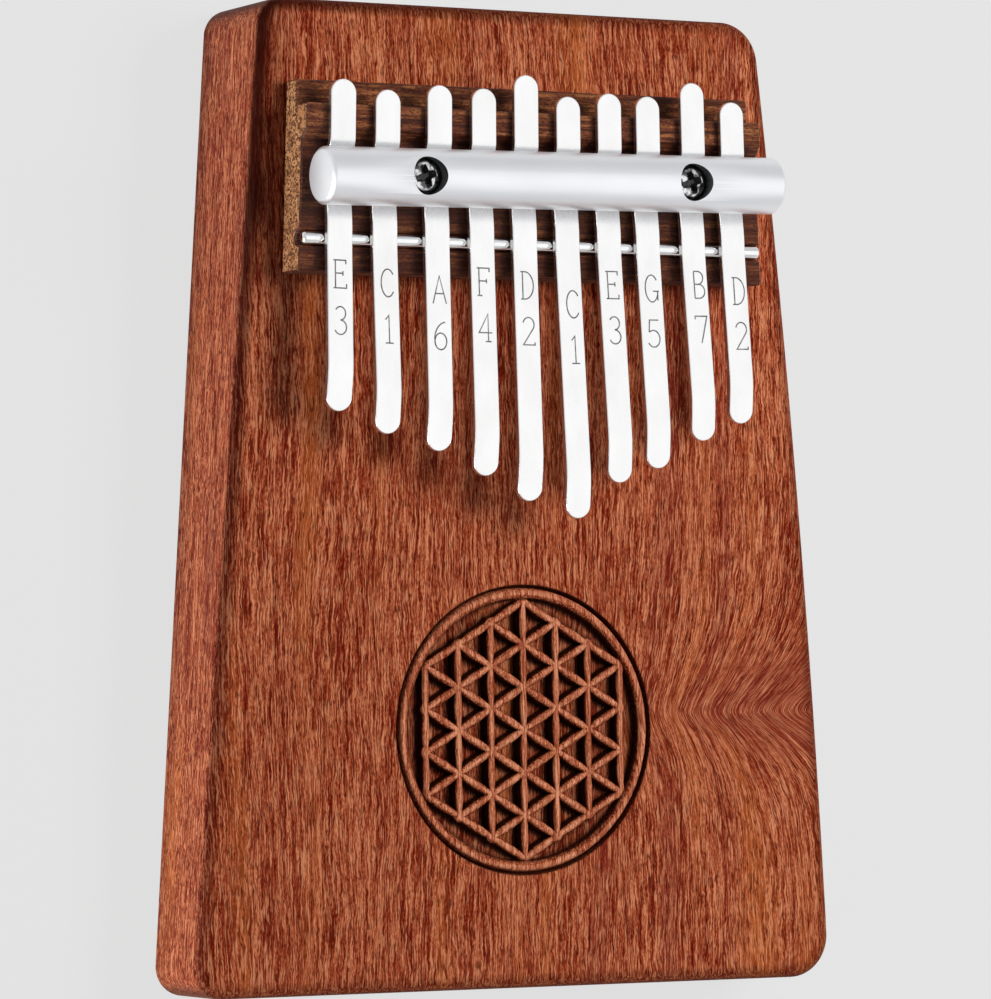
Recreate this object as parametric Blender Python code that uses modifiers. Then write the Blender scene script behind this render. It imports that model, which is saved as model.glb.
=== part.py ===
"""Ten-note board mbira.

A tapering hardwood board carries a glued bridge block. Ten steel tines lie across the
block's ridge and a thin rod, and a round bar, held down by two wood screws, clamps them
between the two. Each tine can be tuned by sliding it under the bar, and its tongue flexes
at the rod when it is plucked.

The board lies on its back: +Z is up, +Y points to the tuning end and +X to the right.
Pieces on the face are placed in a face frame. Its origin is the middle of the board's
bottom edge, its X and Y lie in the sloping face and its Z stands out of it.
"""

import math

import bmesh
import bpy
from mathutils import Matrix, Vector

# Board
BOARD_LENGTH = 0.172
BOARD_TOP_WIDTH = 0.0994
BOARD_BOTTOM_WIDTH = 0.1272
BOARD_TOP_THICKNESS = 0.0235
BOARD_BOTTOM_THICKNESS = 0.0180
RIGHT_CORNER_RADIUS = 0.0075
LEFT_CORNER_RADIUS = 0.0050
BOARD_EDGE_RADIUS = 0.0016
RIGHT_SIDE_BOW = 0.0015  # the right side is a shallow outward curve, and the left is straight
CORNER_STEPS = 7
SIDE_STEPS = 8

# Carved rosette: circles of one radius on a triangular lattice, inside a ring
ROSETTE_CENTRE = (0.0007, 0.0452)
LATTICE_RADIUS = 0.0075
LATTICE_RINGS = 3
PETAL_HALF_WIDTH = 0.00075
PETAL_TRIM = 0.25  # share of a petal's side that the pockets' cut-off points take up
POCKET_DEPTH = 0.0024
CRESCENT_DEPTH = 0.0020
CRESCENT_TRIM = 0.12
CRESCENT_MARGIN = math.radians(7)  # wood left between one crescent and the next
RING_INNER = 3.07 * LATTICE_RADIUS
RING_CREST_INNER = 0.0237  # the ring's flat crest, between its slopes to the lattice and groove
RING_CREST_OUTER = 0.0241
RING_SLOPE_DEPTH = 0.0006
RING_SLOPE_OVERLAP = 0.0003  # how far the slope runs on inside the crescents
GROOVE_FOOT = 0.02500
GROOVE_WALL = 0.02512
GROOVE_OUTER = 0.0255
GROOVE_DEPTH = 0.0013
RING_SEGMENTS = 60

# Bridge block, its profile given from its top edge down the board
BLOCK_TOP_Y = 0.1574
BLOCK_DEPTH = 0.0333
BLOCK_TOP_WIDTH = 0.0901
BLOCK_BOTTOM_WIDTH = 0.0925
LEDGE_HEIGHT = 0.0042
LEDGE_DEPTH = 0.0044
RIDGE_HEIGHT = 0.0084
RIDGE_DEPTH = 0.0043
CHANNEL_HEIGHT = 0.0066
BLOCK_EDGE = 0.0003

# Rod, bar and screws
ROD_RADIUS = 0.0012
ROD_LENGTH = 0.0912
ROD_Y = 0.1299
ROD_EDGE = 0.0002
BAR_RADIUS = 0.0050
BAR_LENGTH = 0.0900
BAR_CHAMFER = 0.0006
BAR_CENTRE = (-0.0003, 0.1406)
BAR_TILT = math.radians(0.8)  # the bar sits a little askew across the tines
SCREW_OFFSET = 0.0264
COUNTERBORE_RADIUS = 0.0033
COUNTERBORE_DEPTH = 0.0042
SHANK_RADIUS = 0.0013
SHANK_HOLE_RADIUS = 0.0016
SCREW_DEPTH_IN_BOARD = 0.0090
SCREW_POINT = 0.0025
HEAD_RADIUS = 0.0027
HEAD_RIM = 0.0019
HEAD_HEIGHT = 0.0024
CROSS_LENGTH = 0.0042
CROSS_WIDTH = 0.0011
CROSS_DEPTH = 0.0014
CROSS_TURN = math.radians(15)
CROSS_TAPER = 0.6  # the recess's size at its floor, as a share of its size at the top
ROD_SEGMENTS = 20
BAR_SEGMENTS = 40
COUNTERBORE_SEGMENTS = 32
HOLE_SEGMENTS = 20
SCREW_SEGMENTS = 28

# Tines
TINE_WIDTH = 0.0048
TINE_THICKNESS = 0.0012
TINE_TOP_AT_ROD = 0.00895
TINE_TOP_AT_BAR = 0.0083
TINE_SPLAY = 0.6  # radians of splay for each metre from the centre line
TUNING_TRAVEL = 0.0015  # how far a tine can slide either way, under the bar
BAR_FLAT = 0.0020  # length of tine kept level on the tail side of the bar, so that it can slide
SPLIT_GAP = 0.0003  # between a tine's clamped end and its tongue, over the rod
TIP_BEND = math.radians(10)
TIP_BEND_START = 0.0090  # from the tip
TIP_BEND_LENGTH = 0.0040
TIP_BEND_STEPS = 4
END_ROUNDING = 0.48  # radius of a tine's rounded end, as a share of its width
STATION_STEP = 0.0007  # between the places where a clamped end can bend
STATIONS = 26
# x at the rod, length of the tongue, length from the rod to the tail, and upward slope in degrees
TINES = (
    (-0.0394, 0.0298, 0.0272, 3.0),
    (-0.0307, 0.0336, 0.0257, 4.6),
    (-0.0205, 0.0364, 0.0269, 3.0),
    (-0.0117, 0.0406, 0.0267, 3.1),
    (-0.0032, 0.0449, 0.0294, 2.7),
    (0.0053, 0.0479, 0.0260, 4.5),
    (0.0137, 0.0416, 0.0269, 4.9),
    (0.0216, 0.0390, 0.0267, 4.6),
    (0.0309, 0.0340, 0.0295, 4.9),
    (0.0391, 0.0308, 0.0264, 3.9),
)

CONTACT_GAP = 0.0002  # clearance drawn between pieces that touch
ABOVE = 0.0020  # how far a cutter stands out of the face it cuts
SHADING_ANGLE = math.radians(35)
EDGE_ANGLE = math.radians(60)  # edges sharper than this are rounded

ROD_Z = TINE_TOP_AT_ROD - TINE_THICKNESS - CONTACT_GAP - ROD_RADIUS
BAR_Z = TINE_TOP_AT_BAR + CONTACT_GAP + BAR_RADIUS
TINE_TOP_AT_RIDGE = RIDGE_HEIGHT + CONTACT_GAP + TINE_THICKNESS
FACE_SLOPE = math.atan2(BOARD_TOP_THICKNESS - BOARD_BOTTOM_THICKNESS, BOARD_LENGTH)


# Scene and helpers ------------------------------------------------------------------------


def clear_scene():
    for obj in list(bpy.data.objects):
        bpy.data.objects.remove(obj, do_unlink=True)


def new_collection(name):
    collection = bpy.data.collections.new(name)
    bpy.context.scene.collection.children.link(collection)
    return collection


def new_material(name, colour, roughness, metallic=0.0):
    material = bpy.data.materials.new(name)
    material.use_nodes = True
    shader = material.node_tree.nodes["Principled BSDF"]
    shader.inputs["Base Color"].default_value = (*colour, 1.0)
    shader.inputs["Roughness"].default_value = roughness
    shader.inputs["Metallic"].default_value = metallic
    return material


def new_object(name, bm, collection, material=None, parent=None, location=(0, 0, 0)):
    """An object made from a bmesh, with its faces turned outwards and shaded smooth."""
    bmesh.ops.recalc_face_normals(bm, faces=bm.faces)
    mesh = bpy.data.meshes.new(name)
    bm.to_mesh(mesh)
    bm.free()
    mesh.shade_smooth()
    mesh.set_sharp_from_angle(angle=SHADING_ANGLE)
    obj = bpy.data.objects.new(name, mesh)
    collection.objects.link(obj)
    obj.location = location
    obj.parent = parent
    if material:
        mesh.materials.append(material)
    return obj


def new_empty(name, collection, parent=None, location=(0, 0, 0), rotation=(0, 0, 0)):
    empty = bpy.data.objects.new(name, None)
    empty.empty_display_size = 0.005
    collection.objects.link(empty)
    empty.location = location
    empty.rotation_euler = rotation
    empty.parent = parent
    return empty


def cutter(name, bm, parent, location=(0, 0, 0)):
    obj = new_object(name, bm, CUTTERS, None, parent, location)
    obj.hide_render = True
    obj.display_type = "WIRE"
    return obj


def subtract(obj, tool):
    modifier = obj.modifiers.new("cut_" + tool.name, "BOOLEAN")
    modifier.operation = "DIFFERENCE"
    modifier.object = tool


def round_edges(obj, width, segments):
    modifier = obj.modifiers.new("edges", "BEVEL")
    modifier.width = width
    modifier.segments = segments
    modifier.limit_method = "ANGLE"
    modifier.angle_limit = EDGE_ANGLE


def arc(centre, radius, start, end, steps):
    """Points along an arc, both ends included, with the angles in radians."""
    points = []
    for i in range(steps + 1):
        angle = start + (end - start) * i / steps
        points.append((centre[0] + radius * math.cos(angle), centre[1] + radius * math.sin(angle)))
    return points


def add_prism(bm, outline, low, high):
    """A flat outline in XY, given height from low to high."""
    floor = bm.faces.new([bm.verts.new((x, y, low)) for x, y in outline])
    lifted = bmesh.ops.extrude_face_region(bm, geom=[floor])["geom"]
    for element in lifted:
        if isinstance(element, bmesh.types.BMVert):
            element.co.z = high


def add_cylinder(bm, radius, low, high, segments, tip_radius=None, centre=(0, 0)):
    """A cylinder along Z, or a cone when its upper radius differs."""
    placed = Matrix.Translation((centre[0], centre[1], (low + high) / 2))
    bmesh.ops.create_cone(
        bm,
        cap_ends=True,
        segments=segments,
        radius1=radius,
        radius2=radius if tip_radius is None else tip_radius,
        depth=high - low,
        matrix=placed,
    )


def add_ring(bm, section, segments):
    """A ring about Z from a closed section of (radius, z) points."""
    rows = []
    for i in range(segments):
        across = math.cos(math.tau * i / segments)
        up = math.sin(math.tau * i / segments)
        rows.append([bm.verts.new((radius * across, radius * up, z)) for radius, z in section])
    for i in range(segments):
        row, following = rows[i], rows[(i + 1) % segments]
        for j in range(len(section)):
            k = (j + 1) % len(section)
            bm.faces.new((row[j], row[k], following[k], following[j]))


def turned(name, profile, steps, collection, material, parent, location):
    """A turned piece: a profile of (radius, z), from its top down its outer side, about Z."""
    mesh = bpy.data.meshes.new(name)
    edges = [(i, i + 1) for i in range(len(profile) - 1)]
    mesh.from_pydata([(radius, 0, z) for radius, z in profile], edges, [])
    mesh.materials.append(material)
    obj = bpy.data.objects.new(name, mesh)
    collection.objects.link(obj)
    obj.parent = parent
    obj.location = location
    screw = obj.modifiers.new("turn", "SCREW")
    screw.steps = steps
    screw.render_steps = steps
    screw.use_merge_vertices = True
    screw.merge_threshold = 0.00001
    return obj


# Board ------------------------------------------------------------------------------------


def side_x(y, sign):
    """Where the board's left or right side crosses a given height, before its corners are cut."""
    share = y / BOARD_LENGTH
    half = (BOARD_BOTTOM_WIDTH * (1 - share) + BOARD_TOP_WIDTH * share) / 2
    bow = RIGHT_SIDE_BOW * 4 * share * (1 - share) if sign > 0 else 0.0
    return sign * (half + bow)


def rounded_corner(corner, before, after, radius, steps):
    """Points of the arc that rounds a corner between its two neighbours."""
    corner, before, after = Vector(corner), Vector(before), Vector(after)
    towards_before = (before - corner).normalized()
    towards_after = (after - corner).normalized()
    half_angle = towards_before.angle(towards_after) / 2
    centre = corner + (towards_before + towards_after).normalized() * radius / math.sin(half_angle)
    tangent = radius / math.tan(half_angle)
    first = corner + towards_before * tangent - centre
    last = corner + towards_after * tangent - centre
    start = math.atan2(first.y, first.x)
    turn = (math.atan2(last.y, last.x) - start + math.pi) % (2 * math.pi) - math.pi
    return arc(centre, radius, start, start + turn, steps)


def board_outline():
    """The board seen from above, anticlockwise from its bottom right corner."""
    near = BOARD_LENGTH / SIDE_STEPS
    bottom_right = (side_x(0, 1), 0)
    top_right = (side_x(BOARD_LENGTH, 1), BOARD_LENGTH)
    top_left = (side_x(BOARD_LENGTH, -1), BOARD_LENGTH)
    bottom_left = (side_x(0, -1), 0)
    right_low = (side_x(near, 1), near)
    right_high = (side_x(BOARD_LENGTH - near, 1), BOARD_LENGTH - near)
    right, left = RIGHT_CORNER_RADIUS, LEFT_CORNER_RADIUS
    points = rounded_corner(bottom_right, bottom_left, right_low, right, CORNER_STEPS)
    for i in range(1, SIDE_STEPS):
        y = BOARD_LENGTH * i / SIDE_STEPS
        points.append((side_x(y, 1), y))
    points += rounded_corner(top_right, right_high, top_left, right, CORNER_STEPS)
    points += rounded_corner(top_left, top_right, bottom_left, left, CORNER_STEPS)
    points += rounded_corner(bottom_left, top_left, bottom_right, left, CORNER_STEPS)
    return points


def make_board(face_shift):
    """A wedge-shaped board: its back is flat on Z 0, and its face rises towards the tuning end."""
    bm = bmesh.new()
    outline = [(x + face_shift, y - BOARD_LENGTH / 2) for x, y in board_outline()]
    add_prism(bm, outline, 0, 1)
    for vertex in bm.verts:
        if vertex.co.z > 0:
            share = vertex.co.y / BOARD_LENGTH + 0.5
            vertex.co.z = BOARD_BOTTOM_THICKNESS * (1 - share) + BOARD_TOP_THICKNESS * share
    body = new_object("body", bm, PARTS, BODY_WOOD)
    round_edges(body, BOARD_EDGE_RADIUS, 3)
    return body


# Rosette ----------------------------------------------------------------------------------


def lattice_point(a, b):
    """A point of the triangular lattice, whose outer hexagon has a corner at the top."""
    x = LATTICE_RADIUS * math.sqrt(3) / 2 * a
    y = LATTICE_RADIUS * (b + a / 2)
    return Vector((x, y))


def in_lattice(a, b):
    return max(abs(a), abs(b), abs(a + b)) <= LATTICE_RINGS


def petal_arc(start, end, bulge_side, steps, trim):
    """Points on one side of the petal between two lattice points, short of both by trim.

    The arc bulges to the right of start to end when bulge_side is 1, and to the left at -1.
    """
    chord = end - start
    half = chord.length / 2
    radius = (half * half + PETAL_HALF_WIDTH**2) / (2 * PETAL_HALF_WIDTH)
    right = Vector((chord.y, -chord.x)).normalized() * bulge_side
    middle = (start + end) / 2
    centre = middle - right * (radius - PETAL_HALF_WIDTH)
    reach = math.asin(half / radius) * (1 - trim)
    along = chord.normalized()
    points = []
    for i in range(steps + 1):
        angle = -reach + 2 * reach * i / steps
        point = centre + right * radius * math.cos(angle) + along * radius * math.sin(angle)
        points.append(tuple(point))
    return points


def pocket_outline(corners):
    """The curved triangle between three petals, its points cut short of the lattice points."""
    middle = (corners[0] + corners[1] + corners[2]) / 3
    outline = []
    for i in range(3):
        start, end = corners[i], corners[(i + 1) % 3]
        chord = end - start
        inward = middle - (start + end) / 2
        side = 1 if Vector((chord.y, -chord.x)).dot(inward) > 0 else -1
        outline += petal_arc(start, end, side, 4, PETAL_TRIM)
    return outline


def crescent_outline(step):
    """The recess between the ring and one side of the lattice's hexagon."""
    turn = Matrix.Rotation(math.radians(60 * step), 2)
    start = turn @ lattice_point(LATTICE_RINGS, 0)
    end = turn @ lattice_point(0, LATTICE_RINGS)
    outline = []
    for i in range(LATTICE_RINGS):
        first = start.lerp(end, i / LATTICE_RINGS)
        last = start.lerp(end, (i + 1) / LATTICE_RINGS)
        outline += petal_arc(first, last, 1, 5, CRESCENT_TRIM)
    angle = math.atan2(end.y, end.x)
    from_angle = angle - CRESCENT_MARGIN
    to_angle = angle - math.radians(60) + CRESCENT_MARGIN
    outline += arc((0, 0), RING_INNER, from_angle, to_angle, 14)
    return outline


def rosette_triangles():
    """The corners of every lattice triangle."""
    rings = range(-LATTICE_RINGS, LATTICE_RINGS + 1)
    for a in rings:
        for b in rings:
            for steps in (((0, 0), (1, 0), (0, 1)), ((0, 0), (1, -1), (1, 0))):
                points = [(a + da, b + db) for da, db in steps]
                if all(in_lattice(*point) for point in points):
                    yield [lattice_point(*point) for point in points]


def carve_rosette(body, face):
    """Cuts the pockets, the six crescents, the ring's inner slope and the groove round it."""
    place = (*ROSETTE_CENTRE, 0)
    bm = bmesh.new()
    for corners in rosette_triangles():
        add_prism(bm, pocket_outline(corners), -POCKET_DEPTH, ABOVE)
    subtract(body, cutter("pocket_cutter", bm, face, place))
    bm = bmesh.new()
    for step in range(6):
        add_prism(bm, crescent_outline(step), -CRESCENT_DEPTH, ABOVE)
    subtract(body, cutter("crescent_cutter", bm, face, place))
    bm = bmesh.new()
    fall = RING_SLOPE_DEPTH / (RING_CREST_INNER - RING_INNER)
    inner = RING_INNER - RING_SLOPE_OVERLAP
    slope = [
        (inner, ABOVE),
        (inner, (inner - RING_CREST_INNER) * fall),
        (RING_CREST_INNER + ABOVE / fall, ABOVE),
    ]
    add_ring(bm, slope, RING_SEGMENTS)
    subtract(body, cutter("ring_slope_cutter", bm, face, place))
    bm = bmesh.new()
    fall = GROOVE_DEPTH / (GROOVE_FOOT - RING_CREST_OUTER)
    groove = [
        (RING_CREST_OUTER - ABOVE / fall, ABOVE),
        (GROOVE_FOOT, -GROOVE_DEPTH),
        (GROOVE_WALL, -GROOVE_DEPTH),
        (GROOVE_OUTER, 0),
        (GROOVE_OUTER, ABOVE),
    ]
    add_ring(bm, groove, RING_SEGMENTS)
    subtract(body, cutter("ring_groove_cutter", bm, face, place))


# Bridge -----------------------------------------------------------------------------------


def block_profile():
    """The block's section as (y down from its top edge, z), with the rod's groove."""
    wall = RIDGE_HEIGHT - CHANNEL_HEIGHT
    ridge_end = LEDGE_DEPTH + RIDGE_DEPTH
    groove_radius = ROD_RADIUS + CONTACT_GAP
    groove = BLOCK_TOP_Y - ROD_Y
    dip = CHANNEL_HEIGHT - ROD_Z
    start = math.asin(dip / groove_radius)
    base = CONTACT_GAP
    points = [
        (0, base),
        (0, LEDGE_HEIGHT),
        (LEDGE_DEPTH, LEDGE_HEIGHT),
        (LEDGE_DEPTH, RIDGE_HEIGHT),
        (ridge_end, RIDGE_HEIGHT),
        (ridge_end + wall, CHANNEL_HEIGHT),
    ]
    points += arc((groove, ROD_Z), groove_radius, math.pi - start, 2 * math.pi + start, 8)
    points += [(BLOCK_DEPTH, CHANNEL_HEIGHT), (BLOCK_DEPTH, base)]
    return points


def make_block(face, hole_cutter):
    """The profile carried across the board, its ends following the board's taper a little."""
    bm = bmesh.new()
    add_prism(bm, block_profile(), -1, 1)
    for vertex in bm.verts:
        down, height, side = vertex.co
        share = down / BLOCK_DEPTH
        half = (BLOCK_TOP_WIDTH * (1 - share) + BLOCK_BOTTOM_WIDTH * share) / 2
        vertex.co = (math.copysign(half, side), -down, height)
    block = new_object("bridge_block", bm, PARTS, BRIDGE_WOOD, face, (0, BLOCK_TOP_Y, 0))
    round_edges(block, BLOCK_EDGE, 1)
    subtract(block, hole_cutter)
    return block


def make_rod(face):
    bm = bmesh.new()
    add_cylinder(bm, ROD_RADIUS, -ROD_LENGTH / 2, ROD_LENGTH / 2, ROD_SEGMENTS)
    bmesh.ops.rotate(bm, verts=bm.verts, matrix=Matrix.Rotation(math.pi / 2, 3, "Y"))
    rod = new_object("bridge_rod", bm, PARTS, CHROME, face, (0, ROD_Y, ROD_Z))
    round_edges(rod, ROD_EDGE, 1)
    return rod


def make_bar(bar_frame):
    """The clamping bar along X, with a counterbored hole for each screw."""
    bm = bmesh.new()
    add_cylinder(bm, BAR_RADIUS, -BAR_LENGTH / 2, BAR_LENGTH / 2, BAR_SEGMENTS)
    bmesh.ops.rotate(bm, verts=bm.verts, matrix=Matrix.Rotation(math.pi / 2, 3, "Y"))
    bar = new_object("pressure_bar", bm, PARTS, ALUMINIUM, bar_frame)
    round_edges(bar, BAR_CHAMFER, 2)
    floor = BAR_RADIUS - COUNTERBORE_DEPTH
    wells = bmesh.new()
    shanks = bmesh.new()
    for side in (-1, 1):
        centre = (side * SCREW_OFFSET, 0)
        top = BAR_RADIUS + ABOVE
        add_cylinder(wells, COUNTERBORE_RADIUS, floor, top, COUNTERBORE_SEGMENTS, centre=centre)
        add_cylinder(shanks, SHANK_HOLE_RADIUS, -top, BAR_RADIUS, HOLE_SEGMENTS, centre=centre)
    subtract(bar, cutter("counterbore_cutter", wells, bar_frame))
    subtract(bar, cutter("clearance_cutter", shanks, bar_frame))
    return bar


def screw_profile():
    """Half of a pan-head wood screw, from the top of its head to its point, with its seat at Z 0."""
    bar_floor = BAR_Z + BAR_RADIUS - COUNTERBORE_DEPTH
    length = bar_floor + SCREW_DEPTH_IN_BOARD
    crown_steps = 5
    profile = []
    for i in range(crown_steps + 1):
        angle = math.pi / 2 * (1 - i / crown_steps)
        radius = HEAD_RADIUS * math.cos(angle)
        profile.append((radius, HEAD_RIM + (HEAD_HEIGHT - HEAD_RIM) * math.sin(angle)))
    profile += [
        (HEAD_RADIUS, 0),
        (SHANK_RADIUS, 0),
        (SHANK_RADIUS, -length + SCREW_POINT),
        (0, -length),
    ]
    profile[0] = (0, HEAD_HEIGHT)
    return profile


def make_screw(name, bar_frame, side):
    """A screw standing on its counterbore's floor, with a cross recess in its head."""
    floor = BAR_RADIUS - COUNTERBORE_DEPTH + CONTACT_GAP
    place = (side * SCREW_OFFSET, 0, floor)
    screw = turned(name, screw_profile(), SCREW_SEGMENTS, PARTS, BLACK_STEEL, bar_frame, place)
    cross = bmesh.new()
    low = HEAD_HEIGHT - CROSS_DEPTH
    half = CROSS_LENGTH / 2
    blade = CROSS_WIDTH / 2
    outline = [
        (half, blade), (blade, blade), (blade, half), (-blade, half),
        (-blade, blade), (-half, blade), (-half, -blade), (-blade, -blade),
        (-blade, -half), (blade, -half), (blade, -blade), (half, -blade),
    ]
    add_prism(cross, outline, low, HEAD_HEIGHT + ABOVE)
    for vertex in cross.verts:
        if vertex.co.z < HEAD_HEIGHT:
            vertex.co.xy *= CROSS_TAPER
    tool = cutter(name + "_cross_cutter", cross, bar_frame, place)
    tool.rotation_euler = (0, 0, CROSS_TURN)
    subtract(screw, tool)
    return screw


def make_screw_holes(bar_frame):
    """The screws' holes through the block and down into the board."""
    bm = bmesh.new()
    depth = BAR_Z + SCREW_DEPTH_IN_BOARD + CONTACT_GAP
    for side in (-1, 1):
        centre = (side * SCREW_OFFSET, 0)
        add_cylinder(bm, SHANK_HOLE_RADIUS, -depth, 0, HOLE_SEGMENTS, centre=centre)
    return cutter("screw_hole_cutter", bm, bar_frame)


# Tines ------------------------------------------------------------------------------------


def smooth_step(value):
    share = min(max(value, 0.0), 1.0)
    return share * share * (3 - 2 * share)


def clamped_top(back, bar_back):
    """Height of a clamped end's top face, with back measured from the rod towards the tail.

    The bar presses the tine down between the ridge and the rod. It is level where it passes
    over the rod, under the bar and over the ridge, for as far as it can be tuned.
    """
    ridge_back = BLOCK_TOP_Y - LEDGE_DEPTH - RIDGE_DEPTH - ROD_Y
    if back < bar_back:
        share = smooth_step((back - TUNING_TRAVEL) / (bar_back - 2 * TUNING_TRAVEL))
        return TINE_TOP_AT_ROD * (1 - share) + TINE_TOP_AT_BAR * share
    rise = ridge_back - TUNING_TRAVEL - bar_back - BAR_FLAT
    share = smooth_step((back - bar_back - BAR_FLAT) / rise)
    return TINE_TOP_AT_BAR * (1 - share) + TINE_TOP_AT_RIDGE * share


def tongue_top(along, tongue_length, slope):
    """Height of a tongue's top face, with along measured from the rod towards its tip.

    It rises straight from the rod, and near its tip it bends back towards the board.
    """
    height = TINE_TOP_AT_ROD + along * math.tan(slope)
    past = along - (tongue_length - TIP_BEND_START)
    if past > 0:
        curved = min(past, TIP_BEND_LENGTH)
        straight = past - curved
        height -= math.tan(TIP_BEND) * (curved * curved / (2 * TIP_BEND_LENGTH) + straight)
    return height


def tine_piece(start, end, stations, top_at):
    """A strip of the tine from start to end, measured from the rod towards its tip.

    The end farther from the rod is rounded. Stations are the places where the strip can
    bend, and top_at gives the height of its top face.
    """
    round_at = max(start, end, key=abs)
    bm = bmesh.new()
    placed = Matrix.Translation((0, -(start + end) / 2, 0))
    size = Matrix.Diagonal((TINE_WIDTH, abs(end - start), TINE_THICKNESS, 1))
    bmesh.ops.create_cube(bm, size=1, matrix=placed @ size)
    for station in stations:
        everything = bm.verts[:] + bm.edges[:] + bm.faces[:]
        bmesh.ops.bisect_plane(bm, geom=everything, plane_co=(0, -station, 0), plane_no=(0, 1, 0))
    corners = []
    for edge in bm.edges:
        upright = abs(edge.verts[0].co.z - edge.verts[1].co.z) > TINE_THICKNESS / 2
        if upright and abs(edge.verts[0].co.y + round_at) < CONTACT_GAP / 10:
            corners.append(edge)
    radius = TINE_WIDTH * END_ROUNDING
    bmesh.ops.bevel(bm, geom=corners, offset=radius, segments=6, profile=0.5, affect="EDGES")
    for vertex in bm.verts:
        middle = top_at(-vertex.co.y) - TINE_THICKNESS / 2
        vertex.co.z += middle
    return bm


def make_tine(number, x, tongue_length, tail_length, slope, face):
    """One tine as two rigid pieces: the clamped end, which slides, and the tongue, which flexes."""
    turn = (0, 0, math.atan(TINE_SPLAY * x))
    name = f"tine_{number:02d}"
    slide = new_empty(name + "_slide", PARTS, face, (x, ROD_Y, 0), turn)
    bar_back = BAR_CENTRE[1] + (x - BAR_CENTRE[0]) * math.tan(BAR_TILT) - ROD_Y
    stations = [-STATION_STEP * i for i in range(1, STATIONS + 1)]
    bm = tine_piece(-tail_length, -SPLIT_GAP / 2, stations, lambda along: clamped_top(-along, bar_back))
    new_object(name + "_clamped_end", bm, PARTS, TINE_STEEL, slide)

    pivot_height = TINE_TOP_AT_ROD - TINE_THICKNESS
    pivot = new_empty(name + "_pivot", PARTS, slide, (0, 0, pivot_height))
    bend_at = tongue_length - TIP_BEND_START
    stations = [bend_at + TIP_BEND_LENGTH * i / TIP_BEND_STEPS for i in range(TIP_BEND_STEPS + 1)]
    bm = tine_piece(
        SPLIT_GAP / 2, tongue_length, stations, lambda along: tongue_top(along, tongue_length, slope)
    )
    bmesh.ops.translate(bm, verts=bm.verts, vec=(0, 0, -pivot_height))
    new_object(name + "_tongue", bm, PARTS, TINE_STEEL, pivot)


# Assembly ---------------------------------------------------------------------------------

clear_scene()
PARTS = new_collection("mbira")
CUTTERS = new_collection("cutters")
BODY_WOOD = new_material("body_wood", (0.30, 0.085, 0.035), 0.45)
BRIDGE_WOOD = new_material("bridge_wood", (0.16, 0.055, 0.022), 0.55)
CHROME = new_material("rod_chrome", (0.80, 0.80, 0.80), 0.08, 1.0)
ALUMINIUM = new_material("bar_aluminium", (0.78, 0.79, 0.80), 0.32, 1.0)
BLACK_STEEL = new_material("screw_black_steel", (0.03, 0.03, 0.035), 0.30, 1.0)
TINE_STEEL = new_material("tine_steel", (0.85, 0.84, 0.82), 0.25, 1.0)

outline_x = [x for x, _ in board_outline()]
SHIFT_X = -(min(outline_x) + max(outline_x)) / 2
FACE = new_empty(
    "face_frame",
    PARTS,
    None,
    (SHIFT_X, -BOARD_LENGTH / 2, BOARD_BOTTOM_THICKNESS),
    (FACE_SLOPE, 0, 0),
)
BAR_FRAME = new_empty("bar_frame", PARTS, FACE, (*BAR_CENTRE, BAR_Z), (0, 0, BAR_TILT))

screw_holes = make_screw_holes(BAR_FRAME)
board = make_board(SHIFT_X)
carve_rosette(board, FACE)
subtract(board, screw_holes)
make_block(FACE, screw_holes)
make_rod(FACE)
make_bar(BAR_FRAME)
make_screw("screw_left", BAR_FRAME, -1)
make_screw("screw_right", BAR_FRAME, 1)
for index, (x, tongue_length, tail_length, slope_degrees) in enumerate(TINES):
    make_tine(index + 1, x, tongue_length, tail_length, math.radians(slope_degrees), FACE)
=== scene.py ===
import math

import bmesh
import bpy
from mathutils import Matrix, Vector
from mathutils.geometry import tessellate_polygon


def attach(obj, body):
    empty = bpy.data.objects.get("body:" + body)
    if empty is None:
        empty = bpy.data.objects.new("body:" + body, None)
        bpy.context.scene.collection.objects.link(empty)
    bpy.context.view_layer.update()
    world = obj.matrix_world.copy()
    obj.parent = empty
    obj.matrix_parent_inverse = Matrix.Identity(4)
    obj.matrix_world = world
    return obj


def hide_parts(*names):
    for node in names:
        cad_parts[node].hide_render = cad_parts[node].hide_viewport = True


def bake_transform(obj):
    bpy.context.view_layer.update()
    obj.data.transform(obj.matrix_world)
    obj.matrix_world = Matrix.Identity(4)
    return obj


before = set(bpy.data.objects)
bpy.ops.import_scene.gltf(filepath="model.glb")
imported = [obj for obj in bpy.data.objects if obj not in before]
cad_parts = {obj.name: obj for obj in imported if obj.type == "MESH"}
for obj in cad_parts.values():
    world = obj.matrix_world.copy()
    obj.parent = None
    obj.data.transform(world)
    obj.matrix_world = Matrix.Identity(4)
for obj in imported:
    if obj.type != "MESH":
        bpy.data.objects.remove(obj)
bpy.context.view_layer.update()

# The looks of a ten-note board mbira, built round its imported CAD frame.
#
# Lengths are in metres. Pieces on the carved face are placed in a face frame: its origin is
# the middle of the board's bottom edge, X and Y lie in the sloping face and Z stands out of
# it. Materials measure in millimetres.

# Board, as in the CAD
BOARD_LENGTH = 0.172
BOARD_TOP_WIDTH = 0.0994
BOARD_BOTTOM_WIDTH = 0.1272
BOARD_TOP_THICKNESS = 0.0235
BOARD_BOTTOM_THICKNESS = 0.0180
RIGHT_CORNER_RADIUS = 0.0075
LEFT_CORNER_RADIUS = 0.0050
BOARD_EDGE_RADIUS = 0.0016
RIGHT_SIDE_BOW = 0.0015
CORNER_STEPS = 16
SIDE_STEPS = 32
EDGE_STEPS = 7
EDGE_SHADE_WIDTH = 0.0011  # how far the dark of the rounded edges runs on to the flats
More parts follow.
